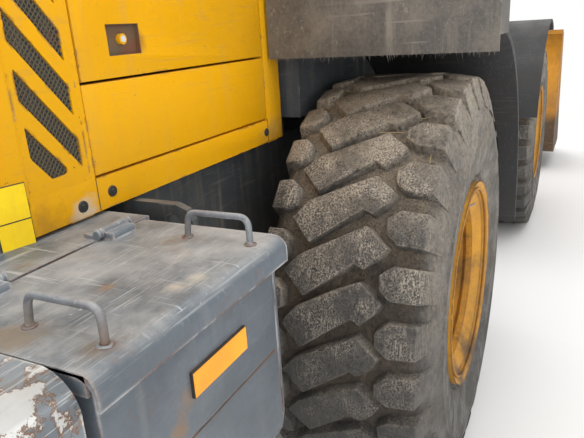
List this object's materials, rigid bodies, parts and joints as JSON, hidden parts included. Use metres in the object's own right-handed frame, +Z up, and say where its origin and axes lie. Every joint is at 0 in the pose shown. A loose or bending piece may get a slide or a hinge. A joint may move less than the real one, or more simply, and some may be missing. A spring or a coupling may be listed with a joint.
{
  "type": "wheel loader",
  "caption": "Articulated wheel loader with a lifting boom and tilting bucket, hinged lids and doors, and large lugged tyres.",
  "frame": {"origin": "on the ground, in the middle of the overall length and width", "axes": "+X forward to the bucket, +Y to the machine's left, +Z up"},
  "size_m": [7.85, 2.66, 3.28],
  "materials": {
    "black_rubber": "matte",
    "cast": "rough",
    "dark_paint": "satin",
    "glass": "clear",
    "grey_paint": "satin",
    "lamp": "gloss",
    "plastic": "matte",
    "rod_chrome": "polished",
    "seat_cover": "matte",
    "steel": "worn",
    "tyre": "matte",
    "worn_paint": "worn",
    "yellow_paint": "satin"
  },
  "bodies": {
    "rear_body": {"access_ladders": "dark_paint", "air_precleaner": "plastic", "battery_boxes": "grey_paint", "cab_glass": "glass", "cab_roof": "yellow_paint", "cab_shell": "dark_paint", "console": "plastic", "counterweight": "worn_paint", "driveline": "cast", "engine": "cast", "exhaust_stack": "steel", "handrails": "dark_paint", "hood_shell": "yellow_paint", "hood_side_panels": "yellow_paint", "mirrors": "plastic", "radiator": "cast", "radiator_grille": "dark_paint", "rear_axle": "cast", "rear_fenders": "black_rubber", "rear_frame": "grey_paint", "seat": "seat_cover", "side_tanks": "grey_paint", "steering_column": "plastic", "work_lamps": "lamp"},
    "hood_door_right": {"side_door_right": "yellow_paint"},
    "hood_door_left": {"side_door_left": "yellow_paint"},
    "lid_right": {"battery_lid_right": "grey_paint"},
    "lid_left": {"battery_lid_left": "grey_paint"},
    "door_right": {"cab_door_right": "dark_paint", "door_glass_right": "glass"},
    "door_left": {"cab_door_left": "dark_paint", "door_glass_left": "glass"},
    "front_body": {"front_frame": "grey_paint", "boom_towers": "grey_paint", "front_axle": "cast", "front_driveline": "cast", "front_fenders": "black_rubber", "headlamps": "lamp"},
    "boom_body": {"boom": "yellow_paint"},
    "lever_body": {"lever": "yellow_paint"},
    "link_body": {"tilt_link": "yellow_paint"},
    "bucket_body": {"bucket": "yellow_paint", "bucket_edge": "steel"},
    "tilt_barrel_body": {"tilt_barrel": "yellow_paint"},
    "tilt_rod_body": {"tilt_rod": "rod_chrome"},
    "lift_barrel_body": {"lift_barrels": "yellow_paint"},
    "lift_rod_body": {"lift_rods": "rod_chrome"},
    "steer_barrel_right_body": {"steer_barrel_right": "dark_paint"},
    "steer_rod_right_body": {"steer_rod_right": "rod_chrome"},
    "steer_barrel_left_body": {"steer_barrel_left": "dark_paint"},
    "steer_rod_left_body": {"steer_rod_left": "rod_chrome"},
    "wheel_rear_right": {"tyre_rear_right": "tyre", "rim_rear_right": "yellow_paint"},
    "wheel_rear_left": {"tyre_rear_left": "tyre", "rim_rear_left": "yellow_paint"},
    "wheel_front_right": {"tyre_front_right": "tyre", "rim_front_right": "yellow_paint"},
    "wheel_front_left": {"tyre_front_left": "tyre", "rim_front_left": "yellow_paint"}
  },
  "joints": [
    {"name": "steer", "type": "hinge", "parent": "rear_body", "child": "front_body", "pos_m": [-0.475, 0, 0.9], "axis": [0, 0, 1], "range_deg": [-38, 38]},
    {"name": "wheel_spin_rear_right", "type": "hinge", "parent": "rear_body", "child": "wheel_rear_right", "pos_m": [-1.975, -0.98, 0.745], "axis": [0, 1, 0], "continuous": true},
    {"name": "wheel_spin_rear_left", "type": "hinge", "parent": "rear_body", "child": "wheel_rear_left", "pos_m": [-1.975, 0.98, 0.745], "axis": [0, 1, 0], "continuous": true},
    {"name": "wheel_spin_front_right", "type": "hinge", "parent": "front_body", "child": "wheel_front_right", "pos_m": [1.025, -0.98, 0.745], "axis": [0, 1, 0], "continuous": true},
    {"name": "wheel_spin_front_left", "type": "hinge", "parent": "front_body", "child": "wheel_front_left", "pos_m": [1.025, 0.98, 0.745], "axis": [0, 1, 0], "continuous": true},
    {"name": "boom_lift", "type": "hinge", "parent": "front_body", "child": "boom_body", "pos_m": [0.645, 0, 1.96], "axis": [0, -1, 0], "range_deg": [-5, 83]},
    {"name": "bucket_tilt", "type": "hinge", "parent": "boom_body", "child": "bucket_body", "pos_m": [2.5966, 0, 0.42975], "axis": [0, 1, 0], "range_deg": [-43, 128]},
    {"name": "lever_turn", "type": "hinge", "parent": "boom_body", "child": "lever_body", "pos_m": [1.79227, 0, 1.30822], "axis": [0, 1, 0], "range_deg": [-34, 101]},
    {"name": "link_turn", "type": "hinge", "parent": "lever_body", "child": "link_body", "pos_m": [1.68111, 0, 1.76771], "axis": [0, 1, 0], "range_deg": [-95, 32]},
    {"name": "tilt_barrel_turn", "type": "hinge", "parent": "boom_body", "child": "tilt_barrel_body", "pos_m": [0.645, 0, 1.96], "axis": [0, 1, 0], "range_deg": [-2, 5]},
    {"name": "tilt_rod_slide", "type": "slide", "parent": "tilt_barrel_body", "child": "tilt_rod_body", "axis": [0.9553, 0, -0.2956], "range_m": [-0.16, 0.47]},
    {"name": "lift_barrel_turn", "type": "hinge", "parent": "front_body", "child": "lift_barrel_body", "pos_m": [0.08, 0, 0.78], "axis": [0, -1, 0], "range_deg": [-2.5, 30.5]},
    {"name": "lift_rod_slide", "type": "slide", "parent": "lift_barrel_body", "child": "lift_rod_body", "axis": [0.9146, 0, 0.4044], "range_m": [-0.06, 0.87]},
    {"name": "steer_barrel_turn_right", "type": "hinge", "parent": "rear_body", "child": "steer_barrel_right_body", "pos_m": [-1.18, -0.43, 0.915], "axis": [0, 0, 1], "range_deg": [-11, 11]},
    {"name": "steer_rod_slide_right", "type": "slide", "parent": "steer_barrel_right_body", "child": "steer_rod_right_body", "axis": [0.9983, 0.0582, 0], "range_m": [-0.26, 0.26]},
    {"name": "lid_hinge_right", "type": "hinge", "parent": "rear_body", "child": "lid_right", "pos_m": [-3.345, -0.77, 1.331], "axis": [-1, 0, 0], "range_deg": [0, 90]},
    {"name": "hood_door_hinge_right", "type": "hinge", "parent": "rear_body", "child": "hood_door_right", "pos_m": [-2.77, -0.671, 1.96], "axis": [-1, 0, 0], "range_deg": [0, 80]},
    {"name": "cab_door_hinge_right", "type": "hinge", "parent": "rear_body", "child": "door_right", "pos_m": [-1.282, -0.718, 2.2], "axis": [0, 0, -1], "range_deg": [0, 100]},
    {"name": "steer_barrel_turn_left", "type": "hinge", "parent": "rear_body", "child": "steer_barrel_left_body", "pos_m": [-1.18, 0.43, 0.915], "axis": [0, 0, 1], "range_deg": [-11, 11]},
    {"name": "steer_rod_slide_left", "type": "slide", "parent": "steer_barrel_left_body", "child": "steer_rod_left_body", "axis": [0.9983, -0.0582, 0], "range_m": [-0.26, 0.26]},
    {"name": "lid_hinge_left", "type": "hinge", "parent": "rear_body", "child": "lid_left", "pos_m": [-3.345, 0.77, 1.331], "axis": [1, 0, 0], "range_deg": [0, 90]},
    {"name": "hood_door_hinge_left", "type": "hinge", "parent": "rear_body", "child": "hood_door_left", "pos_m": [-2.77, 0.671, 1.96], "axis": [1, 0, 0], "range_deg": [0, 80]},
    {"name": "cab_door_hinge_left", "type": "hinge", "parent": "rear_body", "child": "door_left", "pos_m": [-1.282, 0.718, 2.2], "axis": [0, 0, 1], "range_deg": [0, 100]}
  ],
  "couplings": [
    {"joint": "lever_turn", "follows": "bucket_tilt", "ratio": 0.7821},
    {"joint": "link_turn", "follows": "bucket_tilt", "ratio": -0.7375},
    {"joint": "tilt_barrel_turn", "follows": "bucket_tilt", "ratio": 0.03},
    {"joint": "tilt_rod_slide", "follows": "bucket_tilt", "m_per_rad": 0.20626},
    {"joint": "lift_barrel_turn", "follows": "boom_lift", "ratio": 0.356},
    {"joint": "lift_rod_slide", "follows": "boom_lift", "m_per_rad": 0.59015},
    {"joint": "steer_barrel_turn_right", "follows": "steer", "ratio": 0.272},
    {"joint": "steer_barrel_turn_left", "follows": "steer", "ratio": 0.272},
    {"joint": "steer_rod_slide_right", "follows": "steer", "m_per_rad": 0.37701},
    {"joint": "steer_rod_slide_left", "follows": "steer", "m_per_rad": -0.37701}
  ]
}
